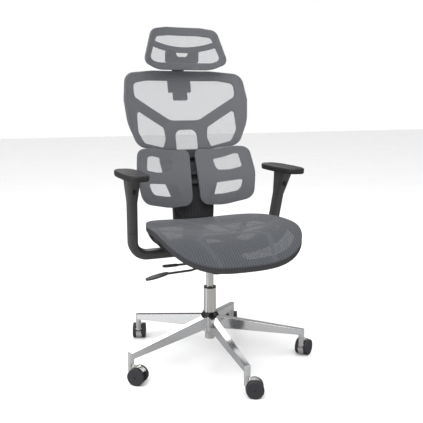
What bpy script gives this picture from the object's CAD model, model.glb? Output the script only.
"""Looks for a swivel office chair: open mesh over black frames, on a polished five-star base.

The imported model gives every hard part. This script dresses those parts in procedural finishes, stretches the
five mesh sheets over their frames, and adds the soft arm pads and the small trim. Lengths of the object's own
shapes are in millimetres and become metres where a mesh is made.
"""

from __future__ import annotations

import logging
import math
from collections.abc import Mapping, Sequence
from dataclasses import dataclass, field

import bpy
import numpy as np
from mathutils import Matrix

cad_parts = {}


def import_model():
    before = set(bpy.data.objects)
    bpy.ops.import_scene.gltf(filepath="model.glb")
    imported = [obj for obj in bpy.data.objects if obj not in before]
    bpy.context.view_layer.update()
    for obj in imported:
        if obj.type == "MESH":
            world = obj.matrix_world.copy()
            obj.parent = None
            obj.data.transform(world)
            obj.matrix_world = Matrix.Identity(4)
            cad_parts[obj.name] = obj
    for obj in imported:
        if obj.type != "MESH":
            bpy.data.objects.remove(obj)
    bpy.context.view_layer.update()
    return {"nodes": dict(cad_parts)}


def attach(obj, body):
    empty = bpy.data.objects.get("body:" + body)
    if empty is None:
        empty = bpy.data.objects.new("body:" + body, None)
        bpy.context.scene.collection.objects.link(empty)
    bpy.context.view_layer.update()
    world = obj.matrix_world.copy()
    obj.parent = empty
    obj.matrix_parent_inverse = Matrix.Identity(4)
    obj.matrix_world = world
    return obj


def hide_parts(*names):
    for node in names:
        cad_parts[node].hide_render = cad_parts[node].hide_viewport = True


LOG = logging.getLogger("chair")
MM = 0.001
SIDES = {"right": -1.0, "left": 1.0}
CASTERS = ("front", "front_left", "rear_left", "rear_right", "front_right")

Corners = Sequence[tuple[float, float, float]]
Array = np.ndarray


# ---------------------------------------------------------------- shader building


class Value:
    """A number that a shader works out at every point; arithmetic on it adds Math nodes."""

    def __init__(self, tree: ShaderTree, socket: bpy.types.NodeSocket) -> None:
        """Holds an output socket and the tree it is in."""
        self.tree = tree
        self.socket = socket

    def math(self, operation: str, *others: Value | float) -> Value:
        """This value, followed by the others, through one Math operation."""
        return self.tree.math(operation, self, *others)

    def __add__(self, other: Value | float) -> Value:
        """The sum."""
        return self.math("ADD", other)

    def __sub__(self, other: Value | float) -> Value:
        """The difference."""
        return self.math("SUBTRACT", other)

    def __rsub__(self, other: float) -> Value:
        """A number less this value."""
        return self.tree.math("SUBTRACT", other, self)

    def __mul__(self, other: Value | float) -> Value:
        """The product."""
        return self.math("MULTIPLY", other)

    def __truediv__(self, other: Value | float) -> Value:
        """The quotient."""
        return self.math("DIVIDE", other)

    def __pow__(self, other: float) -> Value:
        """The power."""
        return self.math("POWER", other)

    __radd__ = __add__
    __rmul__ = __mul__

    def step(self, low: float, high: float) -> Value:
        """0 below low, 1 above high, and a smooth S between them."""
        settings = {"interpolation_type": "SMOOTHSTEP"}
        node = self.tree.add("ShaderNodeMapRange", settings, {0: self, 1: low, 2: high, 3: 0.0, 4: 1.0})
        return Value(self.tree, node.outputs[0])


Input = Value | bpy.types.NodeSocket | float | tuple[float, ...]


class ShaderTree:
    """A material's node tree, with one method that adds any node."""

    def __init__(self, name: str) -> None:
        """Starts an empty material.

        Args:
            name: the material's name.
        """
        self.material = bpy.data.materials.new(name)
        self.material.use_nodes = True
        self.nodes = self.material.node_tree.nodes
        self.links = self.material.node_tree.links
        self.nodes.clear()

    def add(
        self,
        kind: str,
        settings: Mapping[str, object] | None = None,
        inputs: Mapping[int | str, Input] | None = None,
    ) -> bpy.types.Node:
        """Adds a node.

        Args:
            kind: the node's type.
            settings: its own settings, set before any socket.
            inputs: a value or a link for each named or numbered socket.

        Returns:
            The node.
        """
        node = self.nodes.new(kind)
        for key, value in (settings or {}).items():
            setattr(node, key, value)
        for key, value in (inputs or {}).items():
            socket = value.socket if isinstance(value, Value) else value
            if isinstance(socket, bpy.types.NodeSocket):
                self.links.new(socket, node.inputs[key])
            else:
                node.inputs[key].default_value = socket
        return node

    def math(self, operation: str, *values: Value | float) -> Value:
        """One Math node."""
        node = self.add("ShaderNodeMath", {"operation": operation}, dict(enumerate(values)))
        return Value(self, node.outputs[0])

    def place(self, stretch: tuple[float, float, float] = (1, 1, 1)) -> bpy.types.NodeSocket:
        """The point on the object in metres, stretched along its axes."""
        point = self.add("ShaderNodeTexCoord").outputs["Object"]
        return self.add("ShaderNodeMapping", None, {"Vector": point, "Scale": stretch}).outputs[0]

    def noise(
        self, per_metre: float, detail: float = 3.0, stretch: tuple[float, float, float] = (1, 1, 1)
    ) -> Value:
        """Soft random patches, from 0 to 1, so many to the metre."""
        node = self.add(
            "ShaderNodeTexNoise",
            None,
            {"Vector": self.place(stretch), "Scale": per_metre, "Detail": detail, "Roughness": 0.55},
        )
        return Value(self, node.outputs["Fac"])

    def cells(self, per_metre: float) -> Value:
        """Distance to the middle of the nearest random cell, so many cells to the metre."""
        node = self.add("ShaderNodeTexVoronoi", None, {"Vector": self.place(), "Scale": per_metre})
        return Value(self, node.outputs["Distance"])

    def colour(
        self, share: Value, first: tuple[float, float, float], second: tuple[float, float, float]
    ) -> bpy.types.NodeSocket:
        """A colour between two, by a share from 0 to 1."""
        node = self.add("ShaderNodeMix", {"data_type": "RGBA"}, {0: share, 6: (*first, 1), 7: (*second, 1)})
        return node.outputs[2]

    def bump(self, height: Value, depth: float, strength: float = 1.0) -> bpy.types.NodeSocket:
        """The normal of a surface with relief of a given depth in metres."""
        node = self.add("ShaderNodeBump", None, {"Height": height, "Distance": depth, "Strength": strength})
        return node.outputs[0]

    def finish(self, inputs: Mapping[str, Input]) -> bpy.types.Material:
        """Ends the tree in one Principled shader.

        Args:
            inputs: a value or a link for each of the shader's sockets.

        Returns:
            The material.
        """
        shader = self.add("ShaderNodeBsdfPrincipled", None, inputs)
        self.add("ShaderNodeOutputMaterial", None, {"Surface": shader.outputs[0]})
        return self.material


# ---------------------------------------------------------------- finishes


@dataclass(frozen=True)
class Finish:
    """A named finish; its material is made once and then shared."""

    name: str
    colour: tuple[float, float, float]
    roughness: float

    def build(self, tree: ShaderTree) -> bpy.types.Material:
        """Makes the material in a fresh tree."""
        raise NotImplementedError

    def material(self) -> bpy.types.Material:
        """The finish's material."""
        return bpy.data.materials.get(self.name) or self.build(ShaderTree(self.name))

    def shade(self, factor: float) -> tuple[float, float, float]:
        """The finish's colour, lighter or darker."""
        red, green, blue = (channel * factor for channel in self.colour)
        return red, green, blue


@dataclass(frozen=True)
class PolishedMetal(Finish):
    """Buffed or plated metal: faint polishing lines, handling smudges and a trace of waviness."""

    lines: tuple[float, float, float] = (1, 1, 1)
    line_depth: float = 0.000004
    wave_depth: float = 0.00006

    def build(self, tree: ShaderTree) -> bpy.types.Material:
        """Roughness rises in smudges; relief is fine lines over a slow wave."""
        smudge = tree.noise(14, 4).step(0.42, 0.72)
        lines = tree.noise(420, 2, self.lines)
        wave = tree.noise(22, 1)
        specks = tree.noise(900, 1).step(0.7, 0.8)
        relief = tree.bump(lines, self.line_depth)
        wavy = tree.add(
            "ShaderNodeBump", None, {"Height": wave, "Distance": self.wave_depth, "Normal": relief}
        ).outputs[0]
        return tree.finish(
            {
                "Base Color": tree.colour(smudge * 0.6 + specks * 0.4, self.colour, self.shade(0.86)),
                "Metallic": 1.0,
                "Roughness": self.roughness + smudge * 0.07 + lines * 0.03 + specks * 0.1,
                "Normal": wavy,
            }
        )


@dataclass(frozen=True)
class MouldedPlastic(Finish):
    """Moulded or powder-coated surface: fine grain, slow tone changes, and rubbed patches."""

    grains: float = 900
    depth: float = 0.00008
    rub: float = 0.12
    shine: float = 0.26

    def build(self, tree: ShaderTree) -> bpy.types.Material:
        """Grain is noise over small cells; rubbed patches are smoother and a little lighter."""
        grain = tree.noise(self.grains, 3) * 0.6 + tree.cells(self.grains * 0.7) * 0.5
        tone = tree.noise(9, 3)
        rubbed = (tree.noise(30, 5) * 0.7 + tone * 0.3).step(0.5, 0.68)
        dust = tree.noise(260, 3).step(0.62, 0.8)
        share = tone * 0.35 + rubbed * 0.35 + grain * 0.2 + dust * 0.15
        return tree.finish(
            {
                "Base Color": tree.colour(share, self.shade(0.75), self.shade(1.45)),
                "Roughness": self.roughness + grain * 0.1 + dust * 0.08 - rubbed * self.rub,
                "Specular IOR Level": self.shine,
                "Normal": tree.bump(grain, self.depth, 0.6),
            }
        )


@dataclass(frozen=True)
class SoftSkin(Finish):
    """Soft foamed skin with a shallow leather grain, polished a little where forearms rest."""

    grains: float = 620

    def build(self, tree: ShaderTree) -> bpy.types.Material:
        """Grain is the distance to random cells; wear is a slow patch."""
        cell = tree.cells(self.grains).step(0.1, 0.75)
        wear = tree.noise(18, 4).step(0.4, 0.7)
        return tree.finish(
            {
                "Base Color": tree.colour(cell * 0.5 + wear * 0.3, self.shade(1.3), self.shade(0.7)),
                "Roughness": self.roughness - wear * 0.12 + cell * 0.08,
                "Specular IOR Level": 0.35,
                "Normal": tree.bump(1 - cell, 0.00012, 0.7),
            }
        )


@dataclass(frozen=True)
class OpenWeave(Finish):
    """Elastic mesh cloth: ribs along its length, finer threads across, and holes between them."""

    rib_pitch: float = 2.6
    cross_pitch: float = 3.1
    group: float = 10.4
    rib_share: float = 0.36
    cross_share: float = 0.2
    group_share: float = 0.035
    group_tone: float = 0.03
    pressed: float = 0.0

    def thread(self, across: Value, pitch: float, share: Value | float) -> Value:
        """One set of parallel threads: 1 in a thread, 0 between, with soft sides.

        Args:
            across: the distance across the threads, in metres.
            pitch: their spacing in millimetres.
            share: the part of each pitch that the thread fills.

        Returns:
            The threads' mask.
        """
        wave = (across * (2 * math.pi / (pitch * MM))).math("COSINE")
        edge = (share * math.pi).math("COSINE") if isinstance(share, Value) else math.cos(share * math.pi)
        return ((wave - edge) * 2.2 + 0.5).math("MAXIMUM", 0.0).math("MINIMUM", 1.0)

    def build(self, tree: ShaderTree) -> bpy.types.Material:
        """Alpha is the larger of the two sets of threads; every fourth rib is thicker."""
        flat = tree.add("ShaderNodeUVMap", {"uv_map": "cloth"}).outputs[0]
        parts = tree.add("ShaderNodeSeparateXYZ", None, {0: flat}).outputs
        across, along = Value(tree, parts[0]), Value(tree, parts[1])
        sway = (tree.noise(60, 2) - 0.5) * 0.0006
        beat = ((across + sway) * (2 * math.pi / (self.group * MM))).math("COSINE")
        ribs = self.thread(across + sway, self.rib_pitch, beat * self.group_share + self.rib_share)
        threads = self.thread(along + sway, self.cross_pitch, self.cross_share)
        cover = ribs.math("MAXIMUM", threads)
        twist = tree.noise(1500, 2, (1, 1, 0.35))
        tone = twist * 0.3 + ribs * 0.3 + tree.noise(12, 2) * 0.3 + beat * self.group_tone
        if self.pressed:
            mark = Value(tree, tree.add("ShaderNodeAttribute", {"attribute_name": "pressed"}).outputs["Fac"])
            tone = tone + mark * self.pressed
        return tree.finish(
            {
                "Base Color": tree.colour(tone, self.shade(0.68), self.shade(1.3)),
                "Roughness": self.roughness - twist * 0.15,
                "Specular IOR Level": 0.3,
                "Sheen Weight": 0.15,
                "Alpha": cover,
                "Normal": tree.bump(ribs * 0.7 + threads * 0.3 + twist * 0.2, 0.0003, 0.6),
            }
        )


@dataclass(frozen=True)
class PaleFloor(Finish):
    """A smooth pale studio floor with a soft gloss."""

    def build(self, tree: ShaderTree) -> bpy.types.Material:
        """Slow patches change its tone and gloss a little; polished parts see it dimmed."""
        patch = tree.noise(3, 3)
        mirrored = Value(tree, tree.add("ShaderNodeLightPath").outputs["Is Glossy Ray"])
        return tree.finish(
            {
                "Base Color": tree.colour(mirrored * 0.98 + patch * 0.02, self.colour, self.shade(0.3)),
                "Roughness": self.roughness + patch * 0.05,
                "Specular IOR Level": 0.2,
            }
        )


ALUMINIUM = PolishedMetal("polished_aluminium", (0.76, 0.775, 0.8), 0.05, (1, 1, 5))
CHROME = PolishedMetal("chrome", (0.83, 0.81, 0.78), 0.05, (1, 1, 0.1), 0.000002, 0.00001)
STEEL = PolishedMetal("zinc_steel", (0.56, 0.56, 0.58), 0.3, (1, 1, 1), 0.00003, 0.00004)
FRAME_PLASTIC = MouldedPlastic("black_plastic", (0.005, 0.005, 0.0055), 0.42)
GLOSS_PLASTIC = MouldedPlastic("gloss_black_plastic", (0.006, 0.006, 0.0065), 0.24, 1200, 0.00003, 0.12, 0.42)
ARM_PLASTIC = MouldedPlastic("arm_plastic", (0.011, 0.0102, 0.0105), 0.3, 1100, 0.00005, 0.12, 0.5)
WEB_PLASTIC = MouldedPlastic("web_plastic", (0.05, 0.052, 0.056), 0.5)
POWDER_COAT = MouldedPlastic("powder_coat", (0.008, 0.008, 0.0085), 0.38, 520, 0.00012, 0.08)
WHEEL_NYLON = MouldedPlastic("wheel_nylon", (0.007, 0.007, 0.0075), 0.5, 700, 0.00006, 0.05)
RUBBER = MouldedPlastic("rubber", (0.03, 0.03, 0.03), 0.72, 400, 0.0001, 0.05)
PAD_SKIN = SoftSkin("soft_pad_skin", (0.013, 0.0125, 0.0135), 0.5)
MESH_CLOTH = OpenWeave("mesh_cloth", (0.2, 0.207, 0.224), 0.78)
SEAT_CLOTH = OpenWeave(
    "seat_cloth", (0.052, 0.056, 0.064), 0.78, group=9.4, rib_share=0.8, cross_share=0.8, group_share=0.1,
    group_tone=0.42, pressed=1.1,
)
FLOOR = PaleFloor("studio_floor", (0.93, 0.93, 0.935), 0.22)


# ---------------------------------------------------------------- shapes worked out as arrays


def rounded_loop(corners: Corners, mirror: float = 1.0, arc: int = 16) -> Array:
    """A closed outline with round corners.

    At each corner the arc touches both sides at the radius over the tangent of half the angle between them,
    and its centre is on the line that halves that angle.

    Args:
        corners: x, z and radius of each corner, in order.
        mirror: -1 to make the outline's mirror image.
        arc: points on each corner's arc.

    Returns:
        The outline's points, one row each.
    """
    points = np.array([(mirror * x, z) for x, z, _ in corners])
    radii = np.array([r for *_, r in corners], float)
    back = np.roll(points, 1, axis=0) - points
    ahead = np.roll(points, -1, axis=0) - points
    back /= np.linalg.norm(back, axis=1, keepdims=True)
    ahead /= np.linalg.norm(ahead, axis=1, keepdims=True)
    half = 0.5 * np.arccos(np.clip((back * ahead).sum(1), -1, 1))
    middle = back + ahead
    middle /= np.linalg.norm(middle, axis=1, keepdims=True)
    centres = points + middle * (radii / np.sin(half))[:, None]
    first = points + back * (radii / np.tan(half))[:, None] - centres
    last = points + ahead * (radii / np.tan(half))[:, None] - centres
    start = np.arctan2(first[:, 1], first[:, 0])
    turn = np.arctan2(last[:, 1], last[:, 0]) - start
    turn = (turn + np.pi) % (2 * np.pi) - np.pi
    angles = start[:, None] + turn[:, None] * np.linspace(0, 1, arc)
    circle = np.stack([np.cos(angles), np.sin(angles)], axis=-1)
    return (centres[:, None] + radii[:, None, None] * circle).reshape(-1, 2)


def even_loop(points: Array, count: int) -> Array:
    """The same closed outline with evenly spaced points, turning anticlockwise."""
    closed = np.vstack([points, points[:1]])
    if np.sum(closed[:-1, 0] * closed[1:, 1] - closed[1:, 0] * closed[:-1, 1]) < 0:
        closed = closed[::-1]
    run = np.concatenate([[0], np.cumsum(np.linalg.norm(np.diff(closed, axis=0), axis=1))])
    at = np.linspace(0, run[-1], count, endpoint=False)
    return np.stack([np.interp(at, run, closed[:, k]) for k in (0, 1)], axis=-1)


def outward(loop: Array) -> Array:
    """Unit vectors that point out of an anticlockwise outline, from the points on either side of each."""
    along = np.roll(loop, -1, axis=0) - np.roll(loop, 1, axis=0)
    normal = np.stack([along[:, 1], -along[:, 0]], axis=-1)
    return normal / np.linalg.norm(normal, axis=1, keepdims=True)


def superellipse(half: Array, power: float, count: int) -> Array:
    """An oval with flattened sides: |x/a|^p + |y/b|^p = 1, as powers of a cosine and a sine."""
    angle = np.linspace(0, 2 * np.pi, count, endpoint=False)
    wave = np.stack([np.cos(angle), np.sin(angle)], axis=-1)
    return np.sign(wave) * np.abs(wave) ** (2 / power) * half


def ring_faces(rings: int, around: int) -> Array:
    """Quads between successive closed rings of points, each ring one row after another."""
    here = np.arange(around)
    after = (here + 1) % around
    row = np.arange(rings - 1)[:, None] * around
    return np.stack([row + here, row + after, row + around + after, row + around + here], axis=-1).reshape(-1, 4)


def fan_faces(pole: int, first: int, around: int) -> Array:
    """Triangles from one point to a closed ring."""
    here = np.arange(around)
    return np.stack([np.full(around, pole), first + here, first + (here + 1) % around], axis=-1)


def make_piece(name: str, points: Array, faces: list[Array], flat: Array | None = None) -> bpy.types.Object:
    """Puts arrays into a mesh object with smooth faces.

    Args:
        name: the object's name.
        points: one row of millimetres each.
        faces: arrays of quads or triangles.
        flat: the points' place on the flat cloth in millimetres, kept as a UV map in metres.

    Returns:
        The object, linked to the scene.
    """
    mesh = bpy.data.meshes.new(name)
    mesh.from_pydata((points * MM).tolist(), [], [face for part in faces for face in part.tolist()])
    mesh.polygons.foreach_set("use_smooth", np.ones(len(mesh.polygons), bool))
    if flat is not None:
        corner = np.zeros(len(mesh.loops), np.int32)
        mesh.loops.foreach_get("vertex_index", corner)
        layer = mesh.uv_layers.new(name="cloth")
        layer.data.foreach_set("uv", (flat[corner] * MM).astype(np.float32).ravel())
    mesh.validate()
    piece = bpy.data.objects.new(name, mesh)
    bpy.context.scene.collection.objects.link(piece)
    return piece


# ---------------------------------------------------------------- surfaces that the cloth lies on


@dataclass(frozen=True)
class Wall:
    """An upright wall: y rises with z along a smooth line and falls off to each side on a circle.

    A sheet's outline is drawn on it in x and z, and the sheet faces the sitter's back.
    """

    heights: tuple[float, ...]
    depths: tuple[float, ...]
    bow: float
    edge: float = 260

    def height(self, across: Array, along: Array) -> Array:
        """y = line(z) - (R - sqrt(R² - x²)), with R from the bow and the half width."""
        radius = (self.edge**2 + self.bow**2) / (2 * self.bow)
        line = np.polyfit(self.heights, self.depths, len(self.heights) - 1)
        return np.polyval(line, along) - (radius - np.sqrt(radius**2 - across**2))

    def unroll(self, across: Array, along: Array) -> Array:
        """Distances along the wall: round its circle and up its slope."""
        radius = (self.edge**2 + self.bow**2) / (2 * self.bow)
        slope = (self.depths[-1] - self.depths[0]) / (self.heights[-1] - self.heights[0])
        return np.stack([radius * np.arcsin(across / radius), along * math.hypot(1, slope)], axis=-1)

    def place(self, across: Array, along: Array, depth: Array) -> Array:
        """The point at a depth behind the wall's face."""
        return np.stack([across, self.height(across, along) + depth, along], axis=-1)


@dataclass(frozen=True)
class Dish:
    """The seat: level at the back, falling by a power of the distance at the front, with raised sides.

    A sheet's outline is drawn on it in x and y, and the sheet faces up.
    """

    level: float = 516.8
    rise: float = 22.7
    half: float = 256.4
    drop: float = 74
    brink: float = -90.5
    front: float = -331.7
    power: float = 3.1
    edge: float = 275

    def fall(self, along: Array) -> Array:
        """0 behind the brink, then the share of the way to the front, raised to the power."""
        return np.clip((self.brink - along) / (self.brink - self.front), 0, None) ** self.power

    def height(self, across: Array, along: Array) -> Array:
        """z = level - drop·fall + the rise of a circle whose height at the edge fades with the fall."""
        fall = self.fall(along)
        bow = self.rise * (self.edge / self.half) ** 2 * np.clip(1 - fall, 0, None) + 0.5
        radius = (self.edge**2 + bow**2) / (2 * bow)
        return self.level - self.drop * fall + radius - np.sqrt(radius**2 - across**2)

    def unroll(self, across: Array, along: Array) -> Array:
        """Distances along the dish: straight across, and down the waterfall by summed steps."""
        line = np.linspace(-360, 200, 561)
        run = np.concatenate([[0], np.cumsum(np.hypot(1, np.diff(self.drop * self.fall(line))))])
        return np.stack([across, np.interp(along, line, run)], axis=-1)

    def place(self, across: Array, along: Array, depth: Array) -> Array:
        """The point at a depth below the dish's top."""
        return np.stack([across, along, self.height(across, along) - depth], axis=-1)


BACK_WALL = Wall((700, 1100), (222 - 0.2433 * 80, 222 + 0.2433 * 320), 58.7)
LUMBAR_WALL = Wall((550, 600, 650, 700, 750, 800), (123, 128, 140, 156, 172, 186), 56.3)
HEAD_WALL = Wall((1060, 1250), (253, 272), 99.3)
SEAT_DISH = Dish()


@dataclass(frozen=True)
class StretchedSheet:
    """A taut sheet of open weave that covers a frame's face and turns over its edge."""

    name: str
    node: str
    body: str
    rests_on: str
    surface: Wall | Dish
    lie: float = 1.4
    edge: float = 4.0
    stand: float = 0.6
    lip: float = 9.0
    stretch: float = 1.06
    around: int = 288
    rings: int = 44
    turns: int = 7
    finish: OpenWeave = MESH_CLOTH

    def build(self, outline: Array) -> bpy.types.Object:
        """Rings of points run from the outline's middle to its rim, then a quarter circle turns them over the
        frame's rounded edge, and a short run goes straight back.

        Args:
            outline: the frame's outline in millimetres.

        Returns:
            The sheet.
        """
        loop = even_loop(outline, self.around)
        normal = outward(loop)
        middle = loop.mean(0)
        inner = loop - normal * self.edge
        share = np.linspace(0, 1, self.rings + 1)[1:, None, None]
        field_rings = middle + share * (inner - middle)
        radius = self.edge + self.stand
        angle = np.linspace(0, np.pi / 2, self.turns + 1)[1:, None, None]
        straight = np.linspace(radius, self.lip, 3)[1:, None, None]
        roll_rings = inner + normal * radius * np.sin(angle)
        lip_rings = np.repeat((inner + normal * radius)[None], 2, axis=0)
        plan = np.concatenate([field_rings, roll_rings, lip_rings]).reshape(-1, 2)
        depth = np.concatenate(
            [share[..., 0] * 0, radius * (1 - np.cos(angle[..., 0])), straight[..., 0]]
        ).repeat(self.around, axis=1).ravel()
        beyond = np.concatenate(
            [share[..., 0] * 0, radius * angle[..., 0], radius * (np.pi / 2 - 1) + straight[..., 0]]
        ).repeat(self.around, axis=1).ravel()
        plan = np.vstack([middle, plan])
        depth = np.concatenate([[0], depth]) + self.lie
        rings = self.rings + self.turns + 2
        rim = np.vstack([plan[1 : 1 + self.rings * self.around], np.tile(inner, (self.turns + 2, 1))])
        flat = self.surface.unroll(*np.vstack([middle, rim]).T)
        flat[1:] += np.tile(normal, (rings, 1)) * beyond[:, None]
        points = self.surface.place(*plan.T, depth)
        fan, quads = fan_faces(0, 1, self.around), 1 + ring_faces(rings, self.around)
        piece = make_piece(self.name, points, [fan, quads[:, ::-1]], flat)
        piece.data.materials.append(self.finish.material())
        last = flat[-self.around :] * MM
        after = np.roll(last, -1, axis=0)
        area = 0.5 * abs(np.sum(last[:, 0] * after[:, 1] - after[:, 0] * last[:, 1])) / self.stretch
        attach(piece, self.body)
        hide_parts(self.node)
        return piece


# ---------------------------------------------------------------- sub-assemblies


@dataclass
class Assembly:
    """Parts of the chair that are dressed together."""

    nodes: Mapping[str, bpy.types.Object]

    def dress(self, finish: Finish, *names: str) -> None:
        """Gives CAD nodes a finish in place of the plain material they came with.

        Args:
            finish: the finish.
            names: the nodes.
        """
        for name in names:
            mesh = self.nodes[name].data
            mesh.materials.clear()
            mesh.materials.append(finish.material())
            LOG.info("%s: %s", name, finish.name)

    def build(self) -> None:
        """Builds and dresses the assembly."""
        raise NotImplementedError


@dataclass
class StarBase(Assembly):
    """Five polished arms, the column's tube and its bush."""

    def build(self) -> None:
        """Dresses the base."""
        self.dress(ALUMINIUM, "star_base")
        self.dress(CHROME, "column_tube")
        self.dress(GLOSS_PLASTIC, "base_ring", "column_bush")
        self.dress(STEEL, "thrust_bearing")


@dataclass
class GasLift(Assembly):
    """The gas cylinder that slides and turns in the column."""

    def build(self) -> None:
        """Dresses the cylinder, its rod, clip and button."""
        self.dress(CHROME, "gas_cylinder")
        self.dress(STEEL, "piston_rod", "column_clip")
        self.dress(FRAME_PLASTIC, "release_button")


@dataclass
class Casters(Assembly):
    """Five twin-wheel casters with bright hoods."""

    def build(self) -> None:
        """Dresses the hoods and the wheels."""
        self.dress(CHROME, *(f"caster_hood_{place}" for place in CASTERS))
        self.dress(WHEEL_NYLON, *(f"caster_wheels_{place}" for place in CASTERS))


@dataclass
class Mechanism(Assembly):
    """The tilt mechanism under the seat, with its levers."""

    def build(self) -> None:
        """Dresses the housing, its pins and the levers."""
        self.dress(POWDER_COAT, "mechanism_housing", "mechanism_cover")
        self.dress(STEEL, "back_pivot_pin", "seat_pivot_pins", "lever_pin")
        self.dress(RUBBER, "torsion_sleeve")
        self.dress(ARM_PLASTIC, "height_lever", "tilt_lever")


@dataclass
class Seat(Assembly):
    """The dished mesh seat on its rim, ribs and pan."""

    half: float = 256.4
    widest: float = -150.5
    front: float = -331.7
    rear: float = 140.6
    power: float = 2.95
    rib_spread: float = 7.5
    ribs: tuple[tuple[tuple[float, float], ...], ...] = (
        ((0, -160), (0, -140), (40, -118), (133, -96), (250, -110)),
        ((40, -118), (34, -8), (70, 98), (76, 150)),
        ((34, -8), (180, 14), (230, 60)),
        ((0, -160), (85, -168), (130, -212), (98, -320)),
        ((85, -168), (178, -128)),
    )

    def outline(self) -> Array:
        """The seat's plan: two half ovals with flattened sides that meet at its widest place."""
        oval = superellipse(np.array([self.half, 1.0]), self.power, 720)
        reach = np.where(oval[:, 1] > 0, self.rear - self.widest, self.widest - self.front)
        return np.stack([oval[:, 0], oval[:, 1] * reach + self.widest], axis=-1)

    def press(self, sheet: bpy.types.Object) -> None:
        """Marks where the ribs under the sheet press on it.

        The mark is 1 on a rib's middle line and fades as a bell of the distance to the nearest rib.

        Args:
            sheet: the seat's sheet.
        """
        points = np.zeros(len(sheet.data.vertices) * 3)
        sheet.data.vertices.foreach_get("co", points)
        plan = points.reshape(-1, 3)[:, :2] / MM
        runs = [(route[:-1], route[1:]) for route in self.ribs]
        start = np.array([point for first, _ in runs for point in first], float)
        end = np.array([point for _, last in runs for point in last], float)
        folded = np.abs(plan[:, :1])
        plan = np.hstack([folded, plan[:, 1:]])[:, None]
        way = end - start
        share = np.clip(((plan - start) * way).sum(-1) / (way**2).sum(-1), 0, 1)
        near = np.linalg.norm(plan - start - share[..., None] * way, axis=-1).min(1)
        mark = sheet.data.attributes.new("pressed", "FLOAT", "POINT")
        mark.data.foreach_set("value", np.exp(-((near / self.rib_spread) ** 2)).astype(np.float32))

    def build(self) -> None:
        """Dresses the rim and pan, and stretches the sheet."""
        self.dress(FRAME_PLASTIC, "seat_frame", "seat_pan")
        self.dress(WEB_PLASTIC, "seat_web")
        self.dress(STEEL, "arm_bolts")
        sheet = StretchedSheet(
            "seat_sheet", "seat_mesh", "seat", "seat_frame", SEAT_DISH, lie=2.2, edge=1.2, stand=0.4, lip=4.5,
            finish=SEAT_CLOTH, rings=90,
        ).build(self.outline())
        self.press(sheet)


def both_sides(half: Corners) -> list[tuple[float, float, float]]:
    """The corners of a symmetrical outline, from those of one half."""
    return [*half, *((-x, z, r) for x, z, r in reversed(half))]


@dataclass
class Back(Assembly):
    """The spine, the upper back's frame and its mesh."""

    outline: list[tuple[float, float, float]] = field(
        default_factory=lambda: both_sides(
            [(120, 1075, 300), (238, 1063, 42), (252, 965, 90), (244, 880, 160), (206, 788, 52), (100, 774, 60)]
        )
    )

    def build(self) -> None:
        """Dresses the spine and the frame, and stretches the sheet."""
        self.dress(FRAME_PLASTIC, "spine", "spine_cover", "back_frame")
        self.dress(STEEL, "back_bolts")
        StretchedSheet("back_sheet", "back_mesh", "back", "back_frame", BACK_WALL).build(
            rounded_loop(self.outline)
        )


@dataclass
class LumbarWings(Assembly):
    """Two hinged lumbar wings, side by side."""

    outline: tuple[tuple[float, float, float], ...] = (
        (11, 776, 26), (110, 776, 300), (160, 787, 200), (224, 784, 30),
        (238, 690, 120), (222, 590, 48), (110, 564, 200), (18, 568, 34),
    )

    def build(self) -> None:
        """Dresses the yoke and the wings' frames, and stretches their sheets."""
        self.dress(FRAME_PLASTIC, "lumbar_yoke", "lumbar_frame_right", "lumbar_frame_left")
        self.dress(STEEL, "lumbar_pins")
        for side, sign in SIDES.items():
            StretchedSheet(
                f"lumbar_sheet_{side}", f"lumbar_mesh_{side}", f"lumbar_wing_{side}", f"lumbar_frame_{side}",
                LUMBAR_WALL, edge=1.6, lip=7.0,
            ).build(rounded_loop(self.outline, sign))


@dataclass
class Headrest(Assembly):
    """The headrest on its post, with its own mesh."""

    outline: list[tuple[float, float, float]] = field(
        default_factory=lambda: both_sides([(70, 1238, 120), (132, 1228, 34), (171, 1104, 26), (110, 1077, 120)])
    )

    def build(self) -> None:
        """Dresses the socket, post and frame, and stretches the sheet."""
        self.dress(FRAME_PLASTIC, "headrest_socket", "headrest_frame", "headrest_bracket")
        self.dress(GLOSS_PLASTIC, "headrest_post")
        self.dress(STEEL, "headrest_pin")
        StretchedSheet("headrest_sheet", "headrest_mesh", "headrest", "headrest_frame", HEAD_WALL).build(
            rounded_loop(self.outline)
        )


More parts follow.
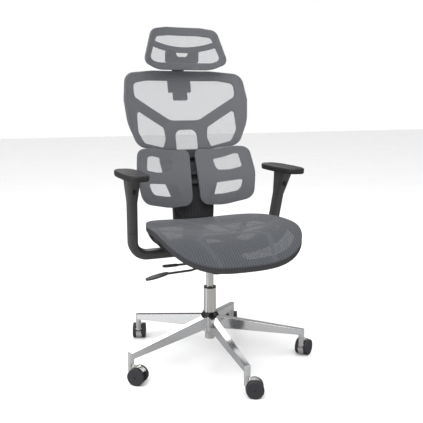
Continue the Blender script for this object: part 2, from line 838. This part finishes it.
@dataclass
class Arms(Assembly):
    """Height-adjusting arms with soft pads."""

    pad_half: tuple[float, float] = (42, 127)
    pad_middle: tuple[float, float] = (294, -3)
    pad_power: float = 3.2
    pocket_half: tuple[float, float] = (27.3, 91)
    pad_bottom: float = 700
    pad_top: float = 722
    pocket_depth: float = 6.8
    shoulder: float = 6.5
    around: int = 160

    def pad_rings(self) -> Array:
        """The pad's profile, from the roof of its pocket round its side to its crown.

        Each row holds how far in from the side, the height and how oval the ring is: rings are superellipses
        whose half sizes are the pad's less the inset, and the pocket's rings are nearly rectangles.

        Returns:
            Rows of half width, half length, height and power.
        """
        half = np.array(self.pad_half)
        turn = np.linspace(0, np.pi / 2, 8)
        swell = np.linspace(0, 1, 6)
        roof = self.pad_bottom + self.pocket_depth
        pocket = [[*np.array(self.pocket_half) * s, roof, 12] for s in (0.5, 0.97, 1.0)]
        pocket += [[*self.pocket_half, self.pad_bottom + 0.4, 12], [*(np.array(self.pocket_half) + 0.6),
                   self.pad_bottom, 10]]
        foot = [[*(half - 3.4 + 2.2 * np.sin(a)), self.pad_bottom + 2.2 * (1 - np.cos(a)), self.pad_power]
                for a in turn[::2]]
        top = self.pad_top - 1.2
        side = [[*(half - 1.2 * (1 - s) ** 2), self.pad_bottom + 2.2 + (top - self.shoulder - 702.2) * s,
                 self.pad_power] for s in swell[1:]]
        shoulder = [[*(half - self.shoulder * (1 - np.cos(a))), top - self.shoulder * (1 - np.sin(a)),
                    self.pad_power] for a in turn[1:]]
        inset = half - self.shoulder
        crown = [[*(inset * s), self.pad_top - 1.2 * s**2, self.pad_power - 0.8 * (1 - s)]
                 for s in (0.93, 0.8, 0.6, 0.4, 0.2)]
        return np.array(pocket + foot + side + shoulder + crown)

    def build_pad(self, side: str, sign: float) -> None:
        """Makes one pad: a closed form of stacked ovals, with a pole at each end.

        Args:
            side: the side's name.
            sign: -1 on the sitter's right and 1 on the left.
        """
        rows = self.pad_rings()
        rings = [
            np.column_stack([superellipse(row[:2], row[3], self.around), np.full(self.around, row[2])])
            for row in rows
        ]
        ends = np.array([[0, 0, rows[0, 2]], [0, 0, self.pad_top]])
        points = np.vstack([*rings, ends]) + [sign * self.pad_middle[0], self.pad_middle[1], 0]
        count = len(rows) * self.around
        faces = [
            ring_faces(len(rows), self.around),
            fan_faces(count, 0, self.around)[:, ::-1],
            fan_faces(count + 1, count - self.around, self.around),
        ]
        pad = make_piece(f"soft_arm_pad_{side}", points, faces)
        pad.data.materials.append(PAD_SKIN.material())
        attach(pad, f"arm_rest_{side}")
        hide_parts(f"arm_pad_{side}")
        LOG.info("%s: built", pad.name)

    def build(self) -> None:
        """Dresses the arms and makes their pads."""
        for side, sign in SIDES.items():
            self.dress(ARM_PLASTIC, f"arm_bracket_{side}", f"arm_sleeve_{side}")
            self.dress(GLOSS_PLASTIC, f"arm_button_{side}", f"arm_plate_{side}")
            self.build_pad(side, sign)


# ---------------------------------------------------------------- studio


@dataclass
class Studio:
    """A pale floor, soft lights, a bright surround and the camera."""

    camera_place: tuple[float, float, float] = (-0.8922, -2.1433, 0.9727)
    heading: float = -22.75
    pitch: float = 10.01
    lens: float = 54.98
    floor_half: float = 14.0
    ambient: float = 0.78
    card_reach: float = 3400.0
    card_heights: tuple[float, float] = (150.0, 1500.0)
    sunshine: float = 2.3
    sun_spread: float = 60.0
    sun_lean: tuple[float, float] = (22.0, -14.0)
    cards: tuple[tuple[float, float, tuple[float, float, float]], ...] = (
        (-168, 20, (0.01, 0.01, 0.01)), (-140, 12, (1.0, 0.9, 0.74)), (-122, 16, (0.015, 0.014, 0.013)),
        (-98, 10, (1.3, 1.26, 1.2)), (-80, 18, (0.012, 0.012, 0.012)), (-52, 12, (0.9, 0.8, 0.66)),
        (-28, 22, (0.012, 0.012, 0.012)),
    )

    def floor(self) -> None:
        """A square floor, which is stage."""
        half = self.floor_half / MM
        corners = np.array([[-half, -half, 0], [half, -half, 0], [half, half, 0], [-half, half, 0]])
        floor = make_piece("floor", corners, [np.array([[0, 1, 2, 3]])])
        floor.data.materials.append(FLOOR.material())

    def softbox(self, name: str, place: Sequence[float], aim: Sequence[float], size: float, power: float) -> None:
        """A square area light.

        Args:
            name: its name.
            place: where it stands, in metres.
            aim: the point it faces.
            size: its side in metres.
            power: its power in watts.
        """
        data = bpy.data.lights.new(name, "AREA")
        data.size = size
        data.energy = power
        light = bpy.data.objects.new(name, data)
        light.location = place
        away = bpy.context.scene.camera.location.copy()
        away[:] = [place[k] - aim[k] for k in range(3)]
        light.rotation_euler = away.to_track_quat("Z", "Y").to_euler()
        bpy.context.scene.collection.objects.link(light)

    def card(self, turn: float, width: float, colour: tuple[float, float, float]) -> None:
        """A tall card that only polished parts see, which puts an upright band in the column.

        Args:
            turn: its direction from the swivel axis, in degrees from +X.
            width: its width in degrees.
            colour: the light it gives.
        """
        angle = np.radians(turn + np.array([-0.5, 0.5]) * width)
        foot = np.stack([np.cos(angle), np.sin(angle)], axis=-1) * self.card_reach
        ends = [np.column_stack([foot, np.full(2, z)]) for z in self.card_heights]
        name = f"card_{turn:+.0f}".replace("-", "m").replace("+", "p")
        card = make_piece(name, np.vstack([ends[0], ends[1][::-1]]), [np.array([[1, 0, 3, 2]])])
        inputs = {
            "Base Color": (0, 0, 0, 1),
            "Specular IOR Level": 0.0,
            "Emission Color": (*colour, 1),
            "Emission Strength": 1.0,
        }
        card.data.materials.append(ShaderTree(name).finish(inputs))
        card.visible_camera = card.visible_diffuse = card.visible_shadow = False
        card.visible_transmission = False

    def sun(self, strength: float) -> None:
        """A wide, even light from above and a little to the left, which whitens the floor as far as it goes."""
        data = bpy.data.lights.new("sun", "SUN")
        data.energy = strength
        data.angle = math.radians(self.sun_spread)
        light = bpy.data.objects.new("sun", data)
        light.rotation_euler = (*(math.radians(lean) for lean in self.sun_lean), 0)
        bpy.context.scene.collection.objects.link(light)

    def surround(self) -> None:
        """A world that is white behind the object, and for reflections bright above and dark at its foot."""
        world = bpy.data.worlds.new("studio_surround")
        bpy.context.scene.world = world
        world.use_nodes = True
        nodes, links = world.node_tree.nodes, world.node_tree.links
        nodes.clear()
        direction = nodes.new("ShaderNodeTexCoord")
        parts = nodes.new("ShaderNodeSeparateXYZ")
        links.new(direction.outputs["Generated"], parts.inputs[0])
        ramp = nodes.new("ShaderNodeValToRGB")
        stops = ((0.0, 0.3), (0.42, 0.2), (0.5, 0.05), (0.58, 0.12), (0.7, 0.55), (0.82, 0.9), (1.0, 0.7))
        while len(ramp.color_ramp.elements) < len(stops):
            ramp.color_ramp.elements.new(0.5)
        for element, (position, bright) in zip(ramp.color_ramp.elements, stops):
            element.position = position
            element.color = (bright, bright, bright, 1)
        half = nodes.new("ShaderNodeMath")
        half.operation = "MULTIPLY_ADD"
        half.inputs[1].default_value = 0.5
        half.inputs[2].default_value = 0.5
        links.new(parts.outputs["Z"], half.inputs[0])
        links.new(half.outputs[0], ramp.inputs[0])
        path = nodes.new("ShaderNodeLightPath")
        mix = nodes.new("ShaderNodeMix")
        mix.data_type = "RGBA"
        links.new(path.outputs["Is Diffuse Ray"], mix.inputs[0])
        links.new(ramp.outputs[0], mix.inputs[6])
        mix.inputs[7].default_value = (*[self.ambient] * 3, 1)
        backdrop = nodes.new("ShaderNodeMix")
        backdrop.data_type = "RGBA"
        links.new(path.outputs["Is Camera Ray"], backdrop.inputs[0])
        links.new(mix.outputs[2], backdrop.inputs[6])
        backdrop.inputs[7].default_value = (1, 1, 1, 1)
        back = nodes.new("ShaderNodeBackground")
        links.new(backdrop.outputs[2], back.inputs["Color"])
        output = nodes.new("ShaderNodeOutputWorld")
        links.new(back.outputs[0], output.inputs["Surface"])

    def build(self) -> None:
        """Sets up the camera, the floor, the surround and the lights."""
        scene = bpy.context.scene
        data = bpy.data.cameras.new("camera")
        data.sensor_width = 36
        data.lens = self.lens
        camera = bpy.data.objects.new("camera", data)
        camera.location = self.camera_place
        camera.rotation_euler = (math.radians(90 - self.pitch), 0, math.radians(self.heading))
        scene.collection.objects.link(camera)
        scene.camera = camera
        scene.view_settings.view_transform = "Standard"
        self.floor()
        self.surround()
        middle = (0, 0, 0.6)
        self.sun(self.sunshine)
        self.softbox("key", (-2.2, -2.0, 2.8), middle, 1.6, 22)
        self.softbox("left", (-2.7, 0.2, 1.1), middle, 1.3, 22)
        self.softbox("fill", (2.6, -1.4, 1.7), middle, 1.2, 10)
        self.softbox("rim", (0.6, 2.6, 2.6), middle, 1.8, 20)
        for turn, width, colour in self.cards:
            self.card(turn, width, colour)


def main() -> None:
    """Builds the chair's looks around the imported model, in order."""
    logging.basicConfig(level=logging.INFO, format="%(message)s")
    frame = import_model()
    Studio().build()
    for assembly in (StarBase, GasLift, Casters, Mechanism, Seat, Back, LumbarWings, Headrest, Arms):
        assembly(frame["nodes"]).build()
        LOG.info("%s: done", assembly.__name__)


if __name__ == "__main__":
    main()
